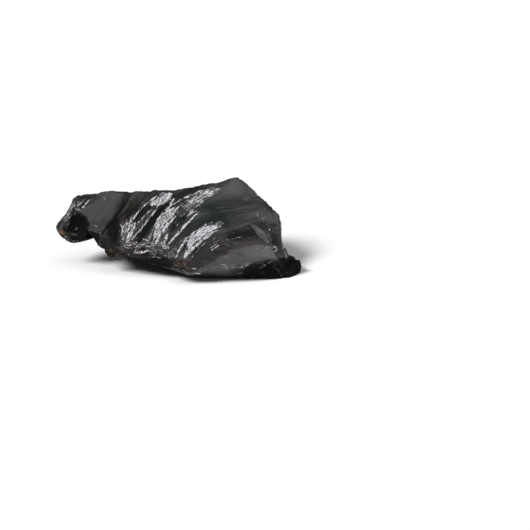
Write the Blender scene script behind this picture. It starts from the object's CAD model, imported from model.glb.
"""A chunk of black obsidian, 90 mm long, resting on a pale studio floor."""

import math
import random

import bmesh
import bpy
import numpy as np
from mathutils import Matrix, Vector, noise
from mathutils.kdtree import KDTree


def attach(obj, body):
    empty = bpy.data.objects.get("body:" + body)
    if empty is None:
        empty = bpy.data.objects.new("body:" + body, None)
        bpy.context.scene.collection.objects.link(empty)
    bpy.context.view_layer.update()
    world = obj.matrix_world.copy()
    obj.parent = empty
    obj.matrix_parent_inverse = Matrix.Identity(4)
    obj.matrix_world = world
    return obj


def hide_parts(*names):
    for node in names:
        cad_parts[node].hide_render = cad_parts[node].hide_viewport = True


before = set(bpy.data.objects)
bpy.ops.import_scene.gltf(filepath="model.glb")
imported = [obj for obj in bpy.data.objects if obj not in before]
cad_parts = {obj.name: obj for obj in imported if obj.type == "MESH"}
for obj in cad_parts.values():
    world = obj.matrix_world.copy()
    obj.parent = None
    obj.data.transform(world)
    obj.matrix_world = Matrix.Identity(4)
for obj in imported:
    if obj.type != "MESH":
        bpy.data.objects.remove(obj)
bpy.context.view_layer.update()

# ---------------------------------------------------------------------------------------------
# The studio. A white table top, a long lens a little above it, a wide white ceiling panel that the
# polished faces mirror, darkness round the sides, and one large soft lamp at the upper left.
# ---------------------------------------------------------------------------------------------

AIM = Vector((0.0316, -0.0012, 0.0))
CAMERA_ELEVATION = math.radians(18)
CAMERA_DISTANCE = 0.7294
toward_camera = Vector((0, -math.cos(CAMERA_ELEVATION), math.sin(CAMERA_ELEVATION)))
camera_data = bpy.data.cameras.new("camera")
camera_data.lens = 135
camera_data.sensor_width = 36
camera_data.clip_start = 0.05
camera_data.clip_end = 20
camera = bpy.data.objects.new("camera", camera_data)
camera.location = AIM + toward_camera * CAMERA_DISTANCE
camera.rotation_mode = "QUATERNION"
camera.rotation_quaternion = (-toward_camera).to_track_quat("-Z", "Y")
bpy.context.scene.collection.objects.link(camera)
bpy.context.scene.camera = camera
bpy.context.scene.view_settings.view_transform = "Standard"


class Wire:
    """A shader socket that arithmetic works on: each operator adds the Math node that does it."""

    def __init__(self, tree, socket=None):
        self.tree = tree
        self.socket = socket

    def node(self, kind, settings, sockets, output=0):
        """Add a node, make its settings, then fill its sockets, and return one of its outputs."""
        node = self.tree.nodes.new("ShaderNode" + kind)
        for name, value in settings.items():
            if name == "stops":
                ramp = node.color_ramp.elements
                while len(ramp) < len(value):
                    ramp.new(1.0)
                for stop, (place, colour) in zip(ramp, value):
                    stop.position = place
                    stop.color = (*colour, 1.0)
            else:
                setattr(node, name, value)
        for name, value in sockets.items():
            if isinstance(name, int):
                socket = node.inputs[name]
            else:
                socket = next(s for s in node.inputs if s.name == name and s.enabled)
            if isinstance(value, Wire):
                self.tree.links.new(value.socket, socket)
            else:
                socket.default_value = value
        outputs = [s for s in node.outputs if s.enabled]
        if isinstance(output, str):
            return Wire(self.tree, next(s for s in outputs if s.name == output))
        return Wire(self.tree, outputs[output])

    def sum(self, operation, *values):
        return self.node("Math", {"operation": operation}, dict(enumerate(values)))

    def __add__(self, other):
        return self.sum("ADD", self, other)

    def __sub__(self, other):
        return self.sum("SUBTRACT", self, other)

    def __rsub__(self, other):
        return self.sum("SUBTRACT", other, self)

    def __mul__(self, other):
        return self.sum("MULTIPLY", self, other)

    __radd__ = __add__
    __rmul__ = __mul__

    def between(self, low, high):
        """A soft step: 0 where this is below low, 1 where it is above high."""
        return self.node("MapRange", {"interpolation_type": "SMOOTHSTEP"},
                         {"Value": self, "From Min": low, "From Max": high, "To Min": 0.0, "To Max": 1.0})

    def blend(self, under, over):
        """The colour under, covered with the colour over where this is 1."""
        return self.node("Mix", {"data_type": "RGBA"}, {"Factor": self, "A": under, "B": over})


PANEL_DIRECTION = Vector((0.08, -0.20, 0.97)).normalized()
ROOM = [
    # cosine of the angle from the ceiling panel's middle, and how bright the room is there
    (0.00, 0.09), (0.45, 0.12), (0.70, 0.22), (0.84, 0.30), (0.92, 0.66), (0.97, 1.22), (1.00, 1.40),
]
BRIGHTEST = ROOM[-1][1]
world = bpy.data.worlds.new("studio")
world.use_nodes = True
world.node_tree.nodes.clear()
room = Wire(world.node_tree)
direction = room.node("TexCoord", {}, {}, "Generated")
toward_panel = {0: direction, 1: PANEL_DIRECTION}
nearness = room.node("VectorMath", {"operation": "DOT_PRODUCT"}, toward_panel, "Value")
stops = [(place, (light / BRIGHTEST,) * 3) for place, light in ROOM]
glow = room.node("ValToRGB", {"stops": stops}, {"Fac": nearness}, "Color")
background = room.node("Background", {}, {"Color": glow, "Strength": BRIGHTEST})
world_output = world.node_tree.nodes.new("ShaderNodeOutputWorld")
world.node_tree.links.new(background.socket, world_output.inputs["Surface"])
bpy.context.scene.world = world

LAMP_DIRECTION = Vector((-0.60, -0.37, 0.707))
LAMP_STRENGTH = 3.4
LAMP_ANGLE = math.radians(25)
lamp_data = bpy.data.lights.new("lamp", "SUN")
lamp_data.energy = LAMP_STRENGTH
lamp_data.angle = LAMP_ANGLE
lamp = bpy.data.objects.new("lamp", lamp_data)
lamp.rotation_mode = "QUATERNION"
lamp.rotation_quaternion = LAMP_DIRECTION.to_track_quat("Z", "Y")
bpy.context.scene.collection.objects.link(lamp)

FLOOR_SIZE = 4.0
floor_bm = bmesh.new()
bmesh.ops.create_grid(floor_bm, x_segments=1, y_segments=1, size=FLOOR_SIZE / 2)
floor_mesh = bpy.data.meshes.new("floor")
floor_bm.to_mesh(floor_mesh)
floor_bm.free()
floor = bpy.data.objects.new("floor", floor_mesh)
bpy.context.scene.collection.objects.link(floor)
paper = bpy.data.materials.new("white_table")
paper.use_nodes = True
paper_shader = paper.node_tree.nodes["Principled BSDF"]
paper_shader.inputs["Base Color"].default_value = (0.92, 0.92, 0.92, 1)
paper_shader.inputs["Roughness"].default_value = 1.0
paper_shader.inputs["Specular IOR Level"].default_value = 0.0
floor_mesh.materials.append(paper)

# ---------------------------------------------------------------------------------------------
# The stone. One solid piece of black volcanic glass, broken out by blows: its form is the CAD
# solid's, remeshed fine enough to carry the hackles, flutes and nibbled edges of the breaks.
# ---------------------------------------------------------------------------------------------

MM = 0.001
cad_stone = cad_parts["obsidian_chunk"]

# Its form: the solid's own faces, merged, with the sharp ridges between the scars noted first. The
# step behind the broad left facet runs out softly towards the top.
RIDGE_ANGLE = math.radians(29)
VALLEY_ANGLE = math.radians(38)
SOFT_STEP = ((-27, -15), (21, 28))  # X and Z, in mm
SOFT_STEP_BACK = 9.0  # Y, in mm
RIDGE_STEP = 0.15 * MM
GRAIN = 0.44 * MM

broken = cad_stone.data.copy()
broken.name = "broken_stone"
bm = bmesh.new()
bm.from_mesh(broken)
bmesh.ops.remove_doubles(bm, verts=bm.verts, dist=1e-6)
ridge_points = []
for edge in bm.edges:
    angle = edge.calc_face_angle_signed() if edge.is_manifold else 0
    first, last = [v.co.copy() for v in edge.verts]
    (left, right), (low, high) = SOFT_STEP
    if left < first.x / MM < right and low < first.z / MM < high and first.y / MM < SOFT_STEP_BACK:
        continue
    if angle > RIDGE_ANGLE or angle < -VALLEY_ANGLE:
        steps = max(1, round((last - first).length / RIDGE_STEP))
        ridge_points += [(first.lerp(last, i / steps), angle > 0) for i in range(steps + 1)]
bm.to_mesh(broken)
bm.free()


def tree_of(points):
    """A search tree over points."""
    tree = KDTree(len(points))
    for i, point in enumerate(points):
        tree.insert(point, i)
    tree.balance()
    return tree


ridges = tree_of([point for point, _ in ridge_points])
arrises = tree_of([point for point, proud in ridge_points if proud])

stone = bpy.data.objects.new("obsidian_chunk_stone", broken)
bpy.context.scene.collection.objects.link(stone)


def settle(obj):
    """Make the modifiers' result the object's own mesh."""
    bpy.context.view_layer.update()
    made = bpy.data.meshes.new_from_object(obj.evaluated_get(bpy.context.evaluated_depsgraph_get()))
    obj.modifiers.clear()
    obj.data = made


remesh = stone.modifiers.new("grain", "REMESH")
remesh.mode = "VOXEL"
remesh.voxel_size = GRAIN
settle(stone)

# Most of its marks are laid out flat, in mm, on a template that stands square to the front of the
# stone, and are cast onto the skin from a point in front of it. The front scar's rings spread about
# the point, below the front edge, where the blow fell.
CAST_FROM = np.array(AIM + toward_camera * CAMERA_DISTANCE)
CAST_SQUARE = np.array(toward_camera)
CAST_UP = np.array(Vector((1, 0, 0)).cross(-toward_camera))
SCAR_OUTWARD = Vector((0.053, -0.4996, 0.8646)).normalized()
SLOPE, SLOPE_FOOT = 1.346, -16.8
BLOW = (22.4, -28.5)
SQUASH = 0.743


def soft(low, high, value):
    """A soft step from 0 below low to 1 above high."""
    t = np.clip((value - low) / (high - low), 0, 1)
    return t * t * (3 - 2 * t)


def on_template(points):
    """How far across and up the template points fall, in mm."""
    ray = points - CAST_FROM
    scale = CAMERA_DISTANCE / MM / -(ray @ CAST_SQUARE)
    return AIM.x / MM + ray[:, 0] * scale, (ray @ CAST_UP) * scale


def on_scar(points):
    """How far across and up the front scar points lie, and their ring's radius, in mm, and angle."""
    across, level = on_template(points)
    upward = SLOPE * level + SLOPE_FOOT
    rise = (upward - BLOW[1]) * SQUASH
    spread = across - BLOW[0]
    return across, upward, np.hypot(spread, rise), np.degrees(np.arctan2(rise, spread))


def grain(x, y, z):
    """Smooth noise, from about -1 to 1, at places given in wavelengths."""
    return np.array([noise.noise(p) for p in zip(x, y, z)])


HACKLES = [
    # first and last angle, the ring's radius at the first, middle and last, half width, how crushed
    (101, 124, 37.5, 36.8, 36.0, 1.8, 0.72),
    (118, 131, 37.8, 37.5, 37.1, 0.25, 0.62),
    (118, 131, 36.7, 36.6, 36.4, 0.22, 0.56),
    (119, 130, 35.9, 35.8, 35.7, 0.18, 0.5),
    (107, 129, 38.2, 38.8, 39.5, 0.45, 0.66),
    (109, 123, 35.3, 34.4, 34.0, 0.4, 0.70),
    (119, 125, 35.1, 34.9, 34.6, 0.22, 0.56),
    (126.5, 150, 37.4, 37.6, 36.5, 1.8, 0.82),
    (128, 143, 39.7, 39.4, 38.9, 0.8, 0.74),
    (131, 153, 35.3, 35.5, 34.8, 0.7, 0.85),
    (140, 154, 38.9, 38.4, 37.6, 0.7, 0.50),
    (118, 153, 32.1, 30.5, 31.5, 0.5, 0.82),
    (118, 126.5, 32.9, 33.2, 33.1, 0.6, 0.70),
    (141, 153, 33.6, 32.6, 31.9, 0.6, 0.75),
    (124, 142, 34.4, 34.1, 33.6, 0.35, 0.46),
    (137, 153, 34.4, 34.2, 33.4, 1.2, 0.44),
    (145, 154, 36.2, 35.6, 35.2, 1.8, 0.42),
    (107, 119, 26.2, 26.5, 26.9, 0.2, 0.46),
    (130, 136, 32.6, 33.0, 32.8, 0.5, 0.42),
    (110, 142, 24.2, 24.9, 24.5, 2.0, 0.86),
    (104, 113, 24.9, 24.7, 24.5, 1.3, 0.55),
    (133, 151, 24.0, 23.7, 23.4, 0.7, 0.85),
    (119, 152, 26.2, 26.8, 26.4, 0.3, 0.75),
    (137, 150, 26.3, 26.5, 26.2, 0.42, 0.82),
    (110, 152, 23.2, 22.5, 23.2, 0.5, 0.85),
    (126, 150, 21.2, 21.1, 21.3, 0.26, 0.58),
    (104, 119, 26.0, 26.0, 25.8, 0.22, 0.42),
    (115, 127, 18.7, 18.5, 18.5, 0.2, 0.55),
    (111, 128, 19.3, 19.5, 19.4, 0.25, 0.42),
    (115, 120, 20.6, 20.5, 20.3, 0.4, 0.40),
    (125.5, 137, 42.9, 43.5, 44.9, 1.8, 0.84),
    (126, 130, 41.0, 40.6, 40.2, 0.6, 0.8),
    (128, 153, 44.9, 46.6, 46.2, 0.33, 0.75),
    (133, 156, 42.8, 42.3, 43.6, 0.38, 0.75),
    (135, 153, 42.9, 44.2, 45.2, 0.35, 0.65),
    (145, 158, 47.3, 47.3, 46.5, 1.6, 0.62),
    (147, 158, 45.3, 45.1, 44.8, 1.1, 0.74),
    (146, 155, 47.6, 48.5, 49.0, 0.4, 0.55),
]
HOLLOWS = [
    # the same, for the smooth dark steps between the hackles, and how dark
    (131, 148, 44.0, 45.1, 45.5, 0.75, 1.0),
    (127, 157, 41.2, 41.0, 41.0, 1.3, 1.1),
    (110, 130, 40.3, 41.0, 42.0, 0.8, 0.6),
    (126, 141, 33.4, 33.6, 33.2, 1.3, 0.9),
    (138, 152, 25.6, 25.7, 24.9, 0.5, 0.9),
    (122, 150, 21.4, 21.2, 21.2, 0.6, 0.5),
    (152, 161, 49.5, 48.8, 47.0, 1.3, 0.9),
]


def along_rings(rows, radius, angle, ragged=0.0):
    """How deep in the strips of a table each ring radius and angle lies, from 0 to 1."""
    most = np.zeros(len(radius))
    for first, last, start, middle, end, width, strength in rows:
        t = (angle - first) / (last - first)
        inside = (t > 0) & (t < 1)
        t = np.clip(t, 0, 1)
        ring = start * (1 - t) * (1 - 2 * t) + middle * 4 * t * (1 - t) + end * t * (2 * t - 1)
        taper = np.clip(np.minimum(t, 1 - t) * 4, 0.02, 1) ** 0.6
        off = np.maximum(np.abs(radius - ring) - ragged, 0) / (width * taper)
        most = np.maximum(most, inside * strength * (1 - soft(0.4, 1.5, off)))
    return most


# The scars of the other sides, each with its own rings about the point where its blow fell.
BREAKS = [
    # where the blow fell and the way the scar faces; ring spacing and depth; bundles of hackles; a seed
    ((23.0, 14.0, 28.0), (-0.20, 0.72, 0.66), 4.6, 0.16, 4, 3),
    ((31.0, 22.5, 3.0), (0.07, 1.00, 0.02), 3.4, 0.13, 2, 8),
    ((22.0, 13.0, 28.0), (0.72, 0.57, 0.40), 3.0, 0.14, 2, 5),
    ((38.0, -12.0, 2.0), (0.98, 0.18, 0.06), 3.2, 0.13, 2, 12),
    ((-20.0, 3.0, 1.0), (-0.82, 0.15, -0.56), 2.8, 0.14, 2, 2),
    ((-3.0, 24.0, 4.0), (-0.33, 0.94, -0.07), 2.8, 0.12, 2, 17),
    ((26.0, 20.0, 0.0), (-0.14, 0.66, -0.74), 3.6, 0.12, 1, 6),
    ((8.0, -20.0, 0.5), (-0.29, -0.27, -0.92), 4.0, 0.14, 2, 10),
    ((-27.0, 10.0, 17.0), (-0.11, 0.96, -0.26), 2.2, 0.08, 1, 4),
    ((-42.0, 6.0, 17.0), (-0.11, 0.72, 0.69), 2.2, 0.08, 1, 9),
]


def about(points, blow, outward):
    """Ring radius, in mm, and angle of points about a blow, and the unit vector outward."""
    outward = Vector(outward).normalized()
    across = outward.orthogonal().normalized()
    up = outward.cross(across)
    arm = points / MM - np.array(blow)
    x, y = arm @ np.array(across), arm @ np.array(up)
    return np.hypot(x, y), np.degrees(np.arctan2(y, x)) % 360, outward


def strips(radius, angle, number, seed):
    """A table of hackles in bundles of close arcs, at random over the rings and angles given."""
    chance = random.Random(seed)
    rows = []
    for _ in range(number):
        i = chance.randrange(len(radius))
        ring, turn = max(radius[i], 5.0), angle[i]
        reach = chance.uniform(4.0, 14.0)
        for _ in range(chance.randint(3, 6)):
            span = math.degrees(reach * chance.uniform(0.3, 1.0) / ring) / 2
            middle = turn + math.degrees(chance.uniform(-0.3, 0.3) * reach / ring)
            at = ring + chance.uniform(-1.9, 1.9)
            width = chance.choice((0.12, 0.15, 0.2, 0.3, 0.5, 1.0))
            strength = chance.uniform(0.42, 0.85)
            bowed = at + chance.uniform(-0.6, 0.6)
            rows.append((middle - span, middle + span, at, bowed, at, width, strength))
    return rows


MARKS = [
    # crushed spots and lines: both ends on the template, half width, and how crushed
    (-21.6, 8.8, -19.8, 7.0, 0.18, 0.42),
    (-20.5, 8.8, -16.8, 7.9, 0.22, 0.38),
    (-18.3, 7.2, -15.4, 8.4, 0.24, 0.58),
    (-17.6, 6.2, -14.3, 7.0, 0.2, 0.45),
    (-20.1, 6.6, -17.6, 5.9, 0.2, 0.32),
    (-14.6, 7.3, -7.7, 7.2, 1, 0.42),
    (-14.6, 8.1, -10.6, 8.0, 0.16, 0.5),
    (-16.5, 9.7, -13.9, 9.9, 0.15, 0.4),
    (-13.2, 9.5, -10.6, 8.8, 0.25, 0.52),
    (-15.7, 5.5, -16.5, 4.3, 0.3, 0.52),
    (-14.3, 4.3, -12.4, 4.8, 0.3, 0.7),
    (-13.9, 5.1, -13.2, 4.8, 0.25, 0.55),
    (-12.4, 5.0, -10.8, 5.4, 0.25, 0.66),
    (-18.7, 3.9, -17.6, 4.0, 0.2, 0.38),
    (-17.6, 5.0, -16.8, 5.5, 0.25, 0.38),
    (-9.1, 3.9, -8.4, 3.5, 0.25, 0.4),
    (-5.7, 8.1, -4.4, 6.6, 0.9, 0.52),
    (-1.4, 2.4, -0.3, 3.9, 0.3, 0.52),
    (-3.3, 4.0, 1.9, 8.8, 1.5, 0.25),
    (-37.8, 24.2, -34.1, 21.7, 1.5, 0.17),
    (-2.5, 4.0, -1.1, 3.7, 0.25, 0.22),
    (-18.7, 7.3, -9.9, 5.9, 1.3, 0.24),
    (-24.6, 8.8, -23.8, 8.4, 0.2, 0.4),
    (-35.4, 21.0, -33.0, 23.9, 0.2, 0.66),
    (-36.5, 22.2, -34.5, 24.3, 0.16, 0.42),
    (-37.0, 21.7, -35.6, 22.9, 0.16, 0.36),
    (-38.9, 22.0, -38.5, 21.7, 0.3, 0.45),
    (-37.9, 23.9, -37.0, 22.8, 0.25, 0.28),
    (-37.8, 20.6, -36.3, 20.2, 0.26, 0.4),
    (-35.6, 20.2, -34.1, 20.7, 0.2, 0.34),
    (-39.8, 21.7, -41.6, 18.0, 0.6, 0.3),
    (-39.2, 23.9, -38.5, 21.5, 0.8, 0.22),
    (-37.4, 22.8, -36.7, 20.9, 0.7, 0.2),
    (-42.5, 16.9, -43.6, 14.3, 0.5, 0.25),
    (-42.2, 15.8, -41.1, 16.0, 0.2, 0.4),
    (-40.7, 15.4, -41.8, 13.6, 0.2, 0.3),
    (-41.4, 17.6, -43.6, 15.4, 0.26, 0.4),
    (-42.2, 16.1, -41.4, 14.7, 0.22, 0.42),
    (-43.6, 13.9, -42.7, 14.3, 0.22, 0.42),
    (-41.6, 10.5, -40.5, 9.2, 0.28, 0.55),
    (-38.5, 12.7, -37.4, 13.6, 0.18, 0.3),
    (-39.2, 11.6, -37.4, 11.0, 0.18, 0.28),
    (-38.5, 8.8, -37.0, 8.6, 0.35, 0.28),
    (-34.1, 24.6, -33.4, 23.9, 0.22, 0.25),
    (-27.4, 24.8, -27.0, 23.9, 0.26, 0.34),
    (-30.6, 14.3, -30.1, 13.9, 0.3, 0.55),
    (-31.9, 14.7, -31.2, 14.1, 0.25, 0.28),
    (-29.7, 13.2, -28.6, 10.6, 0.35, 0.25),
    (18.4, 9.2, 23.5, 10.5, 0.24, 0.36),
    (12.0, 5.4, 14.5, 7.1, 0.17, 0.75),
    (11.8, 6.4, 12.9, 7.9, 0.14, 0.4),
    (13.1, 7.9, 14.3, 8.8, 0.14, 0.34),
    (12.7, 9.9, 13.1, 8.4, 0.16, 0.34),
    (-9.9, 5.5, -2.5, 2.9, 1.2, 0.27),
    (-10.6, 3.1, -6.9, 2.6, 0.3, 0.34),
    (20.0, 11.6, 20.4, 11.9, 0.22, 0.42),
    (25.7, 10.1, 26.1, 9.7, 0.16, 0.36),
    (28.5, 6.1, 28.8, 6.2, 0.2, 0.4),
    (32.0, 6.2, 32.3, 6.4, 0.25, 0.5),
    (30.9, 7.3, 30.5, 7.0, 0.16, 0.36),
    (33.1, 12.7, 33.4, 13.0, 0.26, 0.6),
    (30.5, 17.2, 31.2, 16.9, 0.16, 0.3),
    (28.7, 19.1, 29.0, 18.0, 0.18, 0.4),
    (29.4, 17.2, 29.9, 16.1, 0.16, 0.3),
    (27.2, 17.6, 27.7, 17.2, 0.16, 0.3),
    (30.5, 15.8, 31.2, 16.5, 0.14, 0.26),
    (17.3, 9.9, 18.4, 8.8, 0.16, 0.34),
    (18.4, 9.2, 19.9, 9.9, 0.18, 0.4),
    (19.1, 8.4, 20.2, 9.2, 0.16, 0.32),
    (23.9, 7.7, 24.6, 6.6, 0.14, 0.3),
    (28.7, 6.2, 29.0, 5.9, 0.18, 0.48),
    (15.8, 18.9, 15.8, 18.0, 0.2, 0.26),
    (30.5, 21.7, 32.0, 20.6, 0.2, 0.26),
    (36.7, 3.3, 38.2, 2.9, 0.2, 0.32),
    (15.5, -0.7, 16.6, -1.3, 0.3, 0.36),
    (14.0, -0.4, 14.9, -1.1, 0.2, 0.34),
    (21.3, -3.3, 23.2, -2.9, 0.2, 0.27),
    (37.5, -4.0, 39.7, -2.9, 0.22, 0.36),
    (32.7, 0.6, 33.3, 1.1, 0.25, 0.36),
    (11.0, -1.3, 14.0, -0.6, 0.18, 0.26),
    (9.8, 1.5, 10.3, 1.7, 0.2, 0.4),
    (16.9, 2.9, 17.7, 3.3, 0.16, 0.36),
    (21.0, 5.1, 21.3, 5.5, 0.16, 0.34),
    (13.6, 16.9, 15.1, 17.6, 0.2, 0.28),
    (15.8, 18.0, 16.9, 18.4, 0.16, 0.25),
    (34.7, 6.5, 35.5, 6.6, 0.26, 0.75),
    (35.6, 6.4, 35.9, 5.7, 0.24, 0.7),
    (35.7, 5.4, 35.2, 5.0, 0.24, 0.65),
    (15.1, 0.3, 16.9, -0.1, 0.22, 0.55),
    (17.3, -0.6, 18.0, -1.8, 0.22, 0.45),
    (18.8, -0.9, 23.5, -0.7, 0.2, 0.4),
    (24.6, -0.4, 25.4, 0.7, 0.2, 0.4),
    (21.0, -2.4, 21.7, -1.8, 0.16, 0.25),
    (7.7, -1.7, 12.9, -1.7, 0.24, 0.24),
    (26.1, 0.6, 30.5, 1.8, 0.16, 0.25),
    (-16.3, 4.6, -13.9, 4.7, 0.45, 0.5),
    (-17.6, 8.3, -14.3, 6.8, 0.25, 0.45),
    (-40.0, 22.4, -41.6, 19.5, 0.3, 0.42),
    (-41.7, 19.1, -43.5, 16.7, 0.3, 0.38),
    (-44.2, 14.3, -43.8, 15.8, 0.25, 0.4),
]


def along_line(row, side, level, ragged=0.0):
    """How far off a table row's line, in half widths, and how far along and aside of it, in mm."""
    x0, z0, x1, z1, width, _ = row
    length = math.hypot(x1 - x0, z1 - z0)
    along = ((side - x0) * (x1 - x0) + (level - z0) * (z1 - z0)) / length
    aside = ((side - x0) * (z1 - z0) - (level - z0) * (x1 - x0)) / length
    return (np.hypot(along - np.clip(along, 0, length), aside) + ragged) / width, along, aside


# Where the glass is hackled, the mesh is made twice as fine.
bm = bmesh.new()
bm.from_mesh(stone.data)
bm.faces.ensure_lookup_table()
middles = np.array([f.calc_center_median() for f in bm.faces])
outwards = np.array([f.normal for f in bm.faces])
_, _, radius, angle = on_scar(middles)
fine = (along_rings(HACKLES, radius, angle) > 0.02) & (outwards @ np.array(SCAR_OUTWARD) > 0.3)
side_strips = []
for blow, outward, _, _, number, seed in BREAKS:
    radius, angle, outward = about(middles, blow, outward)
    faces_it = outwards @ np.array(outward) > 0.86
    rows = strips(radius[faces_it], angle[faces_it], number, seed)
    side_strips.append(rows)
    fine |= (along_rings(rows, radius, angle) > 0.02) & (outwards @ np.array(outward) > 0.7)
side, level = on_template(middles)
for row in MARKS:
    fine |= (along_line(row, side, level, -0.3)[0] < 1.6) & (outwards @ CAST_SQUARE > 0.0)
marked = {e for f, wanted in zip(bm.faces, fine) if wanted for e in f.edges}
bmesh.ops.subdivide_edges(bm, edges=list(marked), cuts=1, use_grid_fill=True)
bm.to_mesh(stone.data)
bm.free()

# The solid's facets are smoothed away between the ridges, which are drawn sharp again.
SNAP = 0.28
places = np.empty(len(stone.data.vertices) * 3)
stone.data.vertices.foreach_get("co", places)
places = places.reshape(-1, 3)
nearest = [ridges.find(p) for p in places]
to_ridge = np.array([distance for _, _, distance in nearest]) / MM
on_ridge = to_ridge < SNAP
places[on_ridge] = np.array([point for point, _, _ in nearest])[on_ridge]
stone.data.vertices.foreach_set("co", places.astype(np.float32).ravel())
X, Y, Z = (places / MM).T
loose = soft(SNAP, 1.1, to_ridge) * soft(0.0, 0.4, Z)
(left, right), (low, high) = SOFT_STEP
run_out = soft(left - 1, left + 1, X) * soft(right + 2, right - 1, X) * soft(low, low + 3, Z)
run_out *= soft(SOFT_STEP_BACK + 0.5, SOFT_STEP_BACK - 2, Y) * loose
for name, weights, iterations in (("between_ridges", loose, 22), ("step_run_out", run_out, 60)):
    group = stone.vertex_groups.new(name=name)
    for i, weight in enumerate(weights):
        if weight > 0.001:
            group.add([i], float(weight), "REPLACE")
    smoothing = stone.modifiers.new(name, "SMOOTH")
    smoothing.factor = 0.5
    smoothing.iterations = iterations
    smoothing.vertex_group = group.name
settle(stone)

# The front scar's hackles and hollows, and the streaks and ragged edges of the hackles.
mesh = stone.data
count = len(mesh.vertices)
places = np.empty(count * 3)
mesh.vertices.foreach_get("co", places)
places = places.reshape(-1, 3)
normals = np.empty(count * 3, np.float32)
mesh.vertex_normals.foreach_get("vector", normals)
normals = normals.reshape(-1, 3).astype(float)
across, upward, radius, angle = on_scar(places)
to_arris = np.array([arrises.find(p)[2] for p in places]) / MM

X, Y, Z = (places / MM).T
on_front = soft(0.45, 0.75, normals @ np.array(SCAR_OUTWARD))
arc = np.radians(angle) * radius
streaks = grain(radius / 0.42, arc / 2.6, Z * 0) + 0.6 * grain(radius / 0.3 + 40, arc / 1.1, Z * 0)
ragged = 0.35 * grain(radius / 0.6, arc / 1.6, Z * 0 + 8)
hackle = along_rings(HACKLES, radius, angle, ragged) * on_front
hollow = along_rings(HOLLOWS, radius, angle) * on_front

# The broken dark lines just outside the hackles.
DARK_LINE = 0.5
wider = [(*row[:5], row[5] + DARK_LINE, 1.0) for row in HACKLES]
foot = along_rings(wider, radius, angle, ragged) * on_front
foot *= (1 - soft(0.0, 0.3, hackle)) * soft(-0.2, 0.3, grain(radius / 0.5 + 20, arc / 3.0, Z * 0))

# The rings' low ripples, and on the other scars their hackles too. The grain of the crushed glass
# flows along them.
flow = np.stack([radius, arc], axis=1)
RING_SPACING = 3.1
ripple = np.sin(radius * 2 * math.pi / RING_SPACING + 2 * grain(X / 9, Y / 9, Z / 9))
ripple *= 0.05 * on_front * soft(14, 4, across)

for (blow, outward, spacing, depth, _, seed), rows in zip(BREAKS, side_strips):
    far, turn, outward = about(places, blow, outward)
    on_it = soft(0.72, 0.90, normals @ np.array(outward)) * (1 - on_front)
    bow = np.radians(turn) * far
    wave = far / spacing + 0.5 * grain(X / 11 + seed, Y / 11, Z / 11)
    comes_and_goes = soft(-0.3, 0.5, grain(X / 13, Y / 13 + seed, Z / 13))
    ripple = ripple + on_it * depth * np.sin(wave * 2 * math.pi) * comes_and_goes
    ripple = ripple + on_it * 0.03 * grain(bow / 0.7 * 12 / (far + 6), far / 11, Z * 0 + seed)
    torn = grain(far / 0.42, bow / 2.6, Z * 0 + seed) + 0.6 * grain(far / 0.3, bow / 1.1, Z * 0 + seed)
    strip = along_rings(rows, far, turn, 0.25 * torn) * on_it
    here = strip > hackle
    hackle = np.where(here, strip, hackle)
    streaks = np.where(here, torn, streaks)
    flow = np.where(here[:, None], np.stack([far, bow], axis=1), flow)

# The flutes that fan out over the right of the scar, from a point off its far corner.
FAN = (49.0, 16.0)
FAN_RADIUS = 30.0
spoke = np.arctan2(FAN[1] - upward, FAN[0] - across) * FAN_RADIUS
run = np.hypot(FAN[0] - across, FAN[1] - upward)
fan = on_front * soft(4, 16, across) * (1 - hackle)
flutes = grain(spoke / 1.1, run / 14, Z * 0) + 0.5 * grain(spoke / 0.5, run / 7, Z * 0 + 5)

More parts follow.
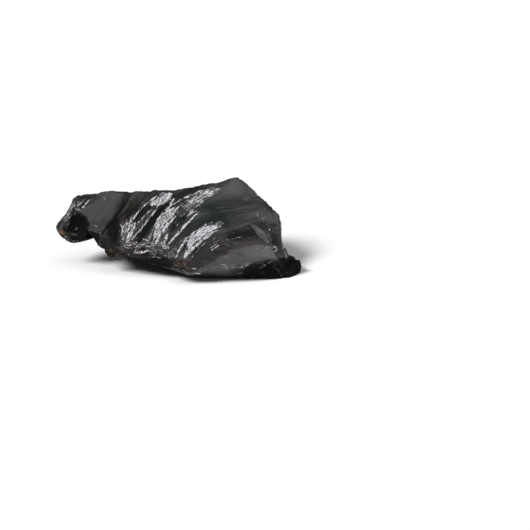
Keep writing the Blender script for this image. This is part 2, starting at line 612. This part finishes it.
BANDS = [
    # the glass's silky bands: both ends on the template, half width, and how much lighter or darker
    (11.8, 21.7, 26.1, 24.6, 2, -0.45),
    (24.6, 18.7, 30.5, 22.0, 2.2, 0.34),
    (24.3, 24.4, 28.2, 25.7, 0.9, 0.75),
    (29.4, 22.0, 34.9, 18.0, 1, 0.4),
    (21.7, 7.0, 33.4, 8.1, 1.5, 0.35),
    (28.3, 19.5, 33.4, 16.5, 1.5, 0.5),
    (33.1, 19.5, 34.2, 15.8, 0.8, 0.9),
    (30.1, 14.7, 32.3, 10.6, 0.7, 0.5),
    (36.0, 3.3, 40.8, 3.8, 0.6, 0.6),
    (9.9, 15.0, 19.5, 20.9, 1.4, -0.25),
    (19.5, 18.0, 29.0, 20.9, 0.8, -0.25),
    (7.7, 9.2, 22.4, 13.2, 0.7, -0.45),
    (8.8, 11.0, 25.7, 15.6, 0.25, 0.35),
    (19.1, 10.3, 30.5, 13.2, 1.9, -0.8),
    (15.8, 12.1, 23.5, 14.3, 0.5, 0.25),
    (26.1, 14.9, 33.1, 7.9, 0.22, 0.4),
    (34.0, 15.8, 34.4, 8.4, 0.3, -0.6),
    (35.6, 19.8, 36.2, 12.5, 1.4, 1),
    (36.7, 11.7, 37.5, 6.2, 1.2, 0.45),
    (27.9, 16.1, 33.4, 14.3, 0.7, 0.2),
    (30.5, 3.1, 40.0, 4.0, 0.9, 0.2),
    (12.1, -0.4, 21.0, 3.3, 0.8, 0.3),
    (21.0, 1.1, 30.5, 4.0, 0.7, 0.28),
    (18.0, 4.8, 30.5, 7.0, 0.5, 0.25),
    (9.6, 0.4, 13.6, 1.1, 1.2, 0.2),
    (8.5, -2.6, 19.1, -2.0, 0.8, 0.2),
    (-22.0, 21.7, -26.4, 12.1, 1.2, -0.55),
    (-23.1, 9.9, -21.2, 13.6, 0.6, -0.85),
    (-25.3, 9.2, -23.8, 12.8, 0.5, -0.85),
    (-19.0, 23.1, -21.2, 20.6, 0.8, -0.5),
    (-15.4, 25.7, -16.8, 22.4, 0.35, -0.5),
    (-32.3, 22.8, -30.1, 25.0, 0.5, -0.55),
    (-40.0, 20.9, -41.4, 18.7, 0.5, -0.5),
    (-43.3, 15.4, -41.4, 16.9, 0.35, -0.6),
    (-31.9, 13.2, -27.9, 11.7, 0.8, -0.3),
    (-4.0, 21.7, -6.9, 18.0, 0.5, -0.3),
    (-29.0, 12.1, -26.8, 9.5, 1, -0.6),
    (-17.6, 25.0, -14.3, 26.4, 0.7, 0.15),
    (-42.2, 13.6, -40.0, 9.9, 1, -0.5),
    (-31.2, 14.3, -27.5, 15.8, 1.6, -0.3),
    (-27.5, 25.3, -20.9, 25.3, 1.2, 0.14),
    (-36.2, 21.2, -33.7, 23.6, 0.3, -1),
    (-32.3, 11.9, -29.1, 11.0, 0.7, -1),
    (-32.3, 11.0, -29.1, 10.0, 0.9, -1),
    (-32.8, 13.1, -29.0, 11.8, 0.25, 0.45),
    (-15.4, 9.5, -11.3, 15.0, 1, -0.9),
    (-24.6, 6.1, -22.4, 5.1, 0.8, -1),
    (-34.1, 21.7, -31.2, 23.9, 0.5, -0.45),
    (-22.4, 2.6, -10.6, 1.2, 1.3, -1),
    (-10.6, 1.2, -2.5, -0.8, 1.4, -1),
    (33.8, 14.3, 35.6, 14.7, 0.5, -0.7),
    (-41.4, 10.6, -41.1, 16.1, 1.1, -0.5),
    (-10.6, 5.9, -2.5, 4.8, 0.6, 0.45),
    (-10.6, 4.4, -6.9, 2.6, 0.5, 0.4),
    (-5.8, 3.3, -2.9, 4.0, 0.4, 0.35),
    (-9.9, 2.2, -5.1, 5.1, 0.35, -0.8),
    (-17.6, 3.3, -10.6, 2.2, 0.5, 0.3),
    (-22.4, 5.5, -17.9, 4.8, 0.5, 0.25),
    (-1.1, 5.5, 1.9, 3.3, 0.8, 0.3),
    (-17.9, 2.6, -4.4, 2.1, 0.6, -0.95),
    (-36.2, 21.2, -33.7, 23.5, 0.45, -1),
    (-39.0, 20.9, -40.0, 17.4, 0.6, -1),
    (-40.0, 22.6, -43.6, 16.7, 0.7, 0.8),
    (-36.3, 24.5, -31.9, 24.8, 0.3, -0.6),
    (24.3, -1.1, 26.8, -0.4, 0.45, -1),
    (26.5, -0.5, 30.5, 0.3, 0.85, -1),
    (29.8, 0.3, 32.7, 1.0, 0.8, -1),
    (14.2, 7.9, 15.5, 6.8, 0.5, -0.55),
    (16.0, 7.9, 16.9, 6.4, 0.5, -0.5),
    (18.6, 7.9, 19.5, 7.0, 0.45, -0.6),
    (13.1, 5.3, 14.3, 4.4, 0.7, -0.4),
    (15.5, 5.3, 17.3, 4.8, 0.6, -0.45),
    (33.4, 2.9, 40.4, 4.0, 0.8, 0.9),
]
side, level = on_template(places)
seen = soft(0.0, 0.35, normals @ CAST_SQUARE)
raw = grain(side / 0.5, level / 0.5, Z * 0 + 2)

marks = np.zeros(count)
for row in MARKS:
    off, along, aside = along_line(row, side, level, min(0.16, 0.4 * row[4]) * raw)
    mark = seen * row[-1] * (1 - soft(0.3, 1.9, off))
    here = (mark > marks) & (off < 3)
    flow = np.where(here[:, None], np.stack([aside, along + row[0]], axis=1), flow)
    marks = np.maximum(marks, mark)
lighter = np.zeros(count)
darker = np.zeros(count)
for row in BANDS:
    off, along, aside = along_line(row, side, level)
    feather = 0.55 * grain(aside / 0.45 + row[0], along / 5.0, Z * 0)
    band = seen * (1 - soft(0.2, 1.7, off + feather))
    if row[-1] > 0:
        lighter = np.maximum(lighter, row[-1] * band)
    else:
        darker = np.maximum(darker, -row[-1] * band)


def almond(row):
    """1 inside an almond drawn round a line: its points, its swell to the left and right, its edge."""
    x0, z0, x1, z1, left, right, edge = row
    _, along, aside = along_line((x0, z0, x1, z1, 1, 0), side, level)
    t = np.clip(along / math.hypot(x1 - x0, z1 - z0), 0, 1)
    belly = np.sin(t * math.pi) ** 0.8 + edge * 0.5 * grain(aside / 0.6, along / 6, Z * 0)
    beyond = np.maximum(aside - right * belly, -aside - left * belly)
    return seen * soft(edge, -edge, beyond) * (t > 0) * (t < 1), aside


# The small leaf-shaped chip at the right of the scar, and the long matt lens along the front edge.
LEAF = (26.1, 15.1, 33.1, 7.9, 1.5, 0.8, 0.12)
LEAF_DEPTH = 0.30
LENS = (9.2, -1.5, 38.3, 5.2, 4.6, 2.6, 1.0)
leaf, leaf_side = almond(LEAF)
lens, _ = almond(LENS)
darker *= 1 - leaf

# Patches and spots, and the crumbly spots among them.
patchy = grain(X / 2.6, Y / 2.6, Z / 2.6 + 3) + 0.5 * grain(X / 1.1, Y / 1.1, Z / 1.1)


def patch(centre, reach, ragged=0.35):
    """1 on a patch of the skin about a point, fading out at reach along X, Y and Z, its edge uneven."""
    off = [((axis - middle) / size) ** 2 for axis, middle, size in zip((X, Y, Z), centre, reach)]
    return soft(1.2, 0.7, np.sqrt(sum(off)) + ragged * patchy)


def spot(across, up, width, height, ragged):
    """How far points are from a spot on the template, 1 at its edge, which is uneven."""
    return np.hypot((side - across) / width, (level - up) / height) + ragged * patchy


crumbly = np.maximum.reduce([
    patch((-23.6, -11.5, 7.0), (3.4, 3.4, 2.6)),
    patch((1.7, -21.5, 6.0), (3.4, 3.5, 2.6)),
    0.6 * patch((-39.5, -2.0, 10.5), (4.5, 3.0, 2.0)),
    0.4 * seen * soft(1.2, 0.7, spot(17.3, 7.2, 3.4, 2.2, 0.35)),
])

# The relief: the ripples, hackles and flutes, low lumps, the crushed marks, the chip, the crumbly
# spots and the nibbled arrises. It dies away at the foot, which stays flat.
HACKLE_STEP = 0.16
HOLLOW_DEPTH = 0.25
FLUTE_DEPTH = 0.07
LUMP = 0.06
MARK_DEPTH = 0.10
COARSE_CRUMB, FINE_CRUMB = 0.65, 0.25
NIBBLE_DEPTH = 0.22
lift = ripple + HACKLE_STEP * hackle * streaks - HOLLOW_DEPTH * hollow + FLUTE_DEPTH * fan * flutes
lift += LUMP * grain(X / 3.0, Y / 3.0, Z / 3.0)
lift += MARK_DEPTH * marks * grain(X / 0.6, Y / 0.6, Z / 0.5)
lift -= LEAF_DEPTH * leaf * soft(-LEAF[4], LEAF[5], leaf_side)
lift += crumbly * COARSE_CRUMB * grain(X / 1.4, Y / 1.4, Z / 1.4)
lift += crumbly * FINE_CRUMB * grain(X / 0.6, Y / 0.6, Z / 0.6)
bitten = soft(0.0, 0.5, grain(X / 1.4, Y / 1.4, Z / 1.4 + 9))
lift -= NIBBLE_DEPTH * soft(0.9, 0.0, to_arris) * bitten
lift *= soft(0.3, 1.5, Z)
places += normals * (lift * MM)[:, None]

# Three small changes to the form: the crown's tip is raised, the knob's left shoulder is drawn in,
# and a ledge fills the notch between the right wall and the nose.
CROWN_LIFT = 0.4
SHOULDER_IN = 1.4
LEDGE_UP = 2.3
crown = soft(14, 19, X) * soft(27, 22, X) * soft(6, 12, Y) * soft(23, 27.5, Z)
shoulder = soft(-37.0, -41, X) * soft(13, 18.5, Z) * soft(25.5, 22.5, Z)
notch = soft(37.4, 38.7, X) * soft(40.7, 38.9, X) * soft(-9, -6, Y) * soft(6, 2, Y)
notch *= soft(1.5, 4, Z) * soft(15, 8, Z)
places[:, 2] += (CROWN_LIFT * crown + LEDGE_UP * notch) * MM
places[:, 0] += SHOULDER_IN * MM * shoulder
mesh.vertices.foreach_set("co", places.astype(np.float32).ravel())
mesh.update()
mesh.shade_smooth()


def paint(name, values):
    """Keep values on the mesh, one for each vertex, for the material to read."""
    layer = mesh.attributes.new(name, "FLOAT", "POINT")
    layer.data.foreach_set("value", np.clip(values, 0, 1).astype(np.float32))


# What the skin is like where: crushed white, worn along the arrises, dull where it is pitted and
# sooty, ashy where it is only matt, and the few rusty, brown and olive stains.
wisps = soft(-0.25, 0.45, streaks + 1.3 * (hackle - 0.75)) * soft(0.05, 0.35, hackle)
bowl = seen * soft(1.15, 0.92, spot(-36.8, 13.6, 4.0, 5.3, 0.2))
dull = np.maximum.reduce([
    soft(-0.1, -0.4, normals[:, 2]) * np.maximum(soft(14, 26, X), soft(-20, -13, Y)),
    soft(0.35, 0.10, normals[:, 2]) * soft(14, 27, X) * soft(-6, -10, Y),
    1.15 * bowl,
    patch((-31.0, -7.0, 11.5), (3.5, 3.0, 3.0)),
    0.9 * patch((42.0, -12.5, 4.0), (7.0, 6.0, 6.0)),
    0.95 * patch((-23.3, -6.5, 14.4), (2.8, 6.0, 5.6)),
    0.7 * patch((-16.4, 0.0, 19.0), (3.2, 8.0, 8.0)),
    0.8 * patch((-25.0, -10.8, 11.5), (5.0, 3.0, 3.5)),
    0.5 * patch((-10.0, -15.0, 8.0), (12.0, 4.0, 4.0)),
    0.8 * hollow,
    0.8 * foot,
    0.7 * patch((30.5, -17.0, 5.5), (2.6, 2.5, 2.0)),
    darker,
    0.65 * crumbly,
    patch((-23.6, -11.5, 7.0), (3.4, 3.4, 2.6)),
])

# The ledge beside the nose is light and matt, not sooty.
dull *= 1 - 0.8 * lighter * soft(33, 35, X) * soft(7, 6, level)
ledge = patch((39.5, -2.5, 5.8), (1.9, 5.5, 4.0), 0.2)
dull = np.maximum(dull, 0.85 * ledge)

chipped = 0.4 * soft(0.45, 0.0, to_arris) * soft(1, 3, Z) * (1 - np.clip(dull + crumbly, 0, 1))
chipped *= soft(0.25, 0.6, grain(X / 0.9, Y / 0.9, Z / 0.9 + 14))
paint("crushed", np.maximum.reduce([hackle * (0.62 + 0.38 * wisps), marks, chipped]))
paint("worn", soft(0.8, 0.1, to_arris) * (0.35 + 0.65 * bitten) * (1 - 0.8 * np.clip(dull, 0, 1)))
paint("dull", dull)
paint("plum", 0.5 + sum([
    0.5 * patch((-27, -1, 20), (7, 8, 9)),
    0.25 * patch((22, -12, 11), (12, 5, 5)),
    0.3 * patch((-15, -12, 11), (10, 5, 5)),
    -0.5 * patch((12, 0, 19), (7, 9, 7)),
    -0.4 * hollow,
]))
wall = soft(0.4, 0.8, normals @ np.array((0.91, -0.35, -0.24))) * patch((-22, 0, 21), (6, 10, 8))
ashy = np.maximum.reduce([
    0.6 * lens,
    0.3 * patch((20.0, 11.5, 26.0), (9.0, 4.0, 4.0)),
    leaf,
    0.6 * wall,
    0.8 * lighter,
    0.75 * ledge,
]) * (1 - 0.8 * darker)
paint("ashy", ashy)
paint("olive", np.maximum.reduce([
    0.3 * patch((-17.8, 3.6, 22.7), (3.5, 3.0, 3.5)),
    0.6 * patch((-23.6, -11.9, 7.7), (2.5, 2.5, 2.5)),
    0.6 * patch((-40.2, -2.6, 11.9), (2.0, 2.0, 1.2)),
]))
paint("brown", np.maximum.reduce([
    patch((1.7, -21.5, 6.6), (3.2, 3.5, 2.5)),
    0.3 * patch((-23.6, -11.9, 7.7), (2.5, 2.5, 2.5)),
]))
paint("rust", 0.75 * patch((-42.2, -2.8, 12.9), (0.9, 2.0, 1.2), 0.5))
layer = mesh.attributes.new("flow", "FLOAT_VECTOR", "POINT")
layer.data.foreach_set("vector", np.column_stack([flow, Z * 0.2]).astype(np.float32).ravel())

obsidian = bpy.data.materials.new("black_obsidian")
obsidian.use_nodes = True
obsidian.node_tree.nodes.clear()
glass = Wire(obsidian.node_tree)
where = glass.node("TexCoord", {}, {}, "Object")
crushed, worn, dull, plum, ashy, olive, brown, rust = [
    glass.node("Attribute", {"attribute_name": name}, {}, "Fac")
    for name in ("crushed", "worn", "dull", "plum", "ashy", "olive", "brown", "rust")
]
flow = glass.node("Attribute", {"attribute_name": "flow"}, {}, "Vector")
fibre_grain = glass.node("VectorMath", {"operation": "MULTIPLY"}, {0: flow, 1: (3.0, 0.5, 1.0)}, "Vector")
speckle, fibre, grit, cloud = [
    glass.node("TexNoise", {}, {"Vector": at, "Scale": scale, "Detail": detail, "Roughness": harsh}, "Fac")
    for at, scale, detail, harsh in (
        (where, 2600.0, 3.0, 0.7),
        (fibre_grain, 1.0, 3.0, 0.7),
        (where, 1300.0, 2.0, 0.6),
        (where, 90.0, 4.0, 0.6),
    )
]
powder = crushed * 1.1 + (speckle - 0.5) * 2.0 + (fibre - 0.5) * 3.4
powder = powder.between(0.44, 0.76) * crushed.between(0.04, 0.30)
GREEN_BLACK = (0.010, 0.0148, 0.0132, 1)
PLUM_BLACK = (0.0200, 0.0150, 0.0165, 1)
colour = (cloud * 0.8 + plum).between(0.55, 1.20).blend(GREEN_BLACK, PLUM_BLACK)
COATS = [
    # how far soot, ash, the three stains and wear cover the glass, and their colours
    (dull * 0.8, (0.0028, 0.0030, 0.0030, 1)),
    (ashy * cloud.between(0.2, 0.6), (0.100, 0.097, 0.092, 1)),
    (olive * grit.between(0.45, 0.60), (0.050, 0.048, 0.026, 1)),
    (brown * grit.between(0.50, 0.60), (0.085, 0.056, 0.040, 1)),
    (rust * cloud.between(0.2, 0.5), (0.42, 0.16, 0.07, 1)),
    (worn * speckle.between(0.45, 0.7) * 0.6, (0.12, 0.12, 0.12, 1)),
]
for cover, tint in COATS:
    colour = cover.blend(colour, tint)
GREY_CRUSH = (0.26, 0.25, 0.28, 1)
WHITE_CRUSH = (0.80, 0.785, 0.81, 1)
white = (speckle.between(0.35, 0.60) * crushed.between(0.25, 0.65)).blend(GREY_CRUSH, WHITE_CRUSH)
colour = powder.blend(colour, white)
rough = 0.12 + cloud * 0.08 + powder * 0.4 + worn * 0.15 + ashy * 0.12
height = speckle * crushed + cloud * 0.6
bump = glass.node("Bump", {}, {"Strength": 0.35, "Distance": 0.0001, "Height": height}, "Normal")
GLASS_IOR = 1.5
coat = {"Base Color": colour, "IOR": GLASS_IOR, "Normal": bump}
bright = glass.node("BsdfPrincipled", {}, {**coat, "Roughness": rough})
sooty = glass.node("BsdfPrincipled", {}, {**coat, "Roughness": 0.6, "Specular IOR Level": 0.02})
skin = glass.node("MixShader", {}, {0: dull * (1 - powder), 1: bright, 2: sooty})
output = obsidian.node_tree.nodes.new("ShaderNodeOutputMaterial")
obsidian.node_tree.links.new(skin.socket, output.inputs["Surface"])
mesh.materials.clear()
mesh.materials.append(obsidian)

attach(stone, "root")
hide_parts("obsidian_chunk")
